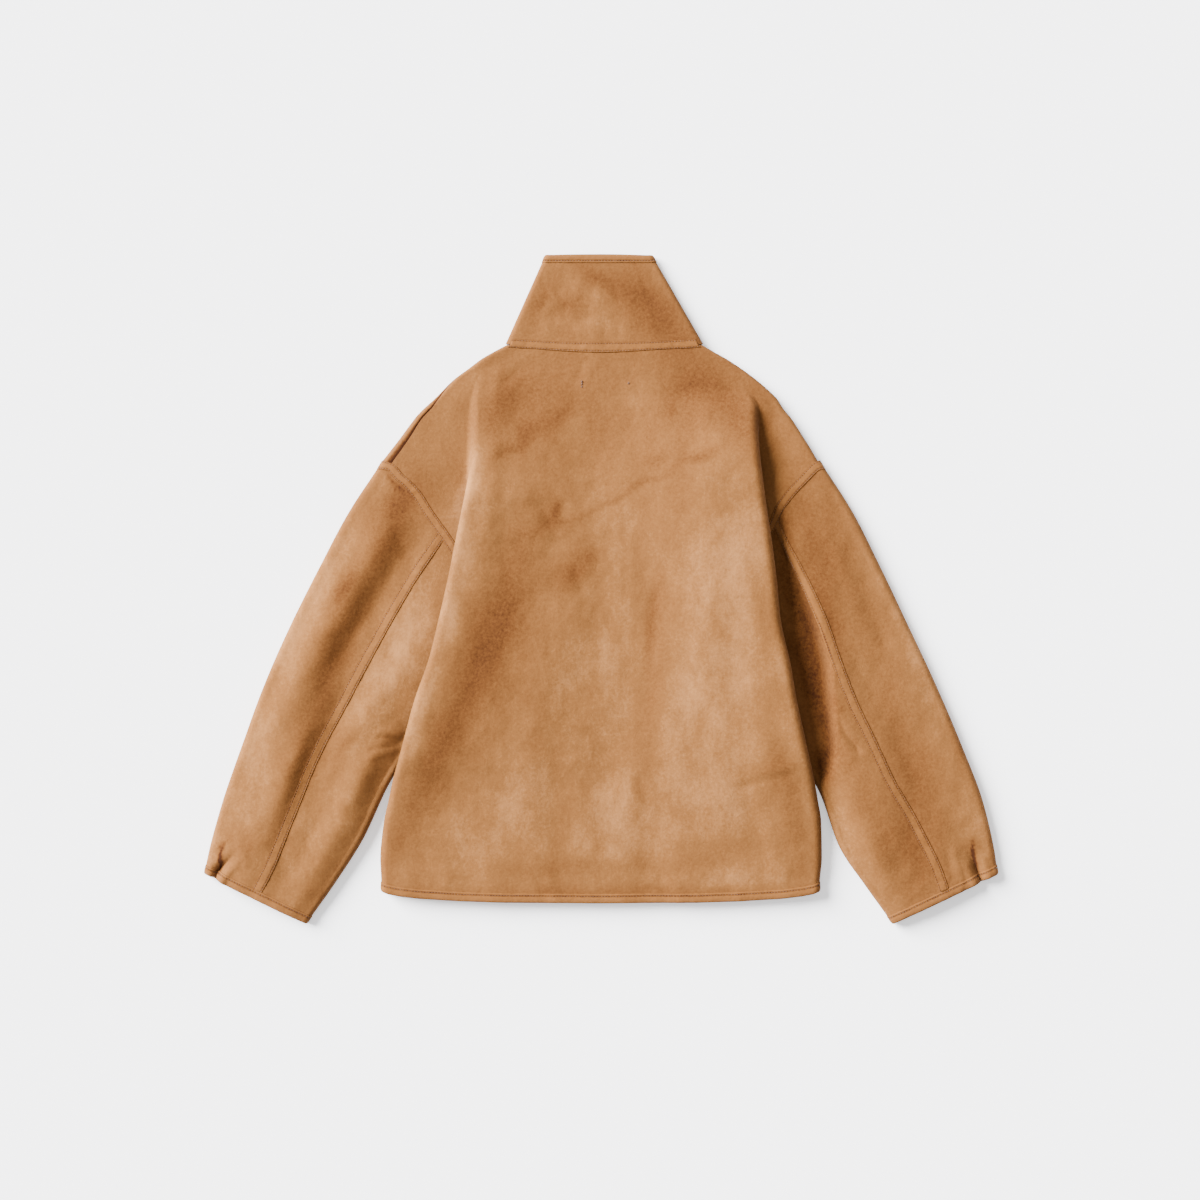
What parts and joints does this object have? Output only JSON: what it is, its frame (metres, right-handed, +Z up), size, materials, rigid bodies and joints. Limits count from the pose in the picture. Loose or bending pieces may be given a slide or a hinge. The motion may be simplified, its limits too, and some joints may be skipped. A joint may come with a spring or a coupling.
{
  "type": "faux shearling coat",
  "caption": "Hip-length faux shearling coat with stand collar, dropped shoulders, taped seams and bound edges, laid flat with its back upward.",
  "frame": {"origin": "centre of the bounding box's bottom, on the surface the coat lies on", "axes": "+X across the coat towards the right cuff as seen from above, +Y from hem to collar, +Z up from the surface"},
  "size_m": [0.9114, 0.7676, 0.041],
  "materials": {
    "suede": "brushed faux suede bonded to short pile",
    "binding": "faux suede binding",
    "tape": "faux suede tape"
  },
  "bodies": {
    "root": {"back": "suede", "front_left": "suede", "front_right": "suede", "collar": "suede", "sleeve_left_upper": "suede", "sleeve_left_under": "suede", "sleeve_right_upper": "suede", "sleeve_right_under": "suede", "hem_binding": "binding", "collar_binding": "binding", "cuff_binding_left": "binding", "cuff_binding_right": "binding", "front_binding_left": "binding", "front_binding_right": "binding", "neck_tape": "tape", "armhole_tape_left": "tape", "armhole_tape_right": "tape", "sleeve_tape_left": "tape", "sleeve_tape_right": "tape"}
  },
  "joints": []
}
